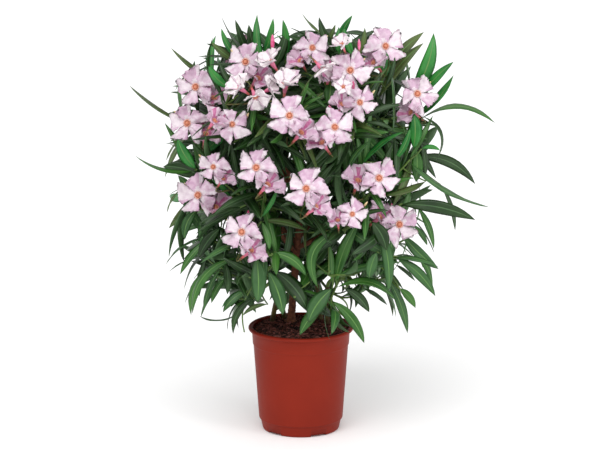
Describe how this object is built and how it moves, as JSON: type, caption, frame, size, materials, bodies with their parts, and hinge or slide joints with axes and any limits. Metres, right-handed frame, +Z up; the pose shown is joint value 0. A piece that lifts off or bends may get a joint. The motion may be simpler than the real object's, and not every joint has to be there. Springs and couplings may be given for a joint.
{
  "type": "potted oleander",
  "caption": "Flowering oleander shrub with a short trunk, lance-shaped leaves and pale pink blossoms, growing in a round plastic nursery pot filled with bark compost.",
  "frame": {"origin": "middle of the flat underside of the pot", "axes": "+Z up along the pot's axis, -Y towards the front that the picture shows, +X to the right of that view"},
  "size_m": [0.6371, 0.4824, 0.7707],
  "materials": {
    "pot": "satin",
    "soil": "matte",
    "bark": "matte",
    "green_stem": "satin",
    "leaf": "satin",
    "petal": "matte",
    "throat": "matte"
  },
  "bodies": {
    "root": {"pot": "pot", "soil": "soil", "trunk": "bark", "bough_upper_right": "bark", "foliage_upper_right": "leaf", "bough_upper_back_right": "bark", "foliage_upper_back_right": "leaf", "bough_upper_back_left": "bark", "foliage_upper_back_left": "leaf", "bough_upper_left": "bark", "foliage_upper_left": "leaf", "bough_middle_right": "bark", "foliage_middle_right": "leaf", "bough_middle_back_right": "bark", "foliage_middle_back_right": "leaf", "bough_middle_back_left": "bark", "foliage_middle_back_left": "leaf", "bough_middle_left": "bark", "foliage_middle_left": "leaf", "stem_lower_right": "green_stem", "foliage_lower_right": "leaf", "stem_lower_back_right": "green_stem", "foliage_lower_back_right": "leaf", "stem_lower_back_left": "green_stem", "foliage_lower_back_left": "leaf", "stem_lower_left": "green_stem", "foliage_lower_left": "leaf"}
  },
  "joints": []
}
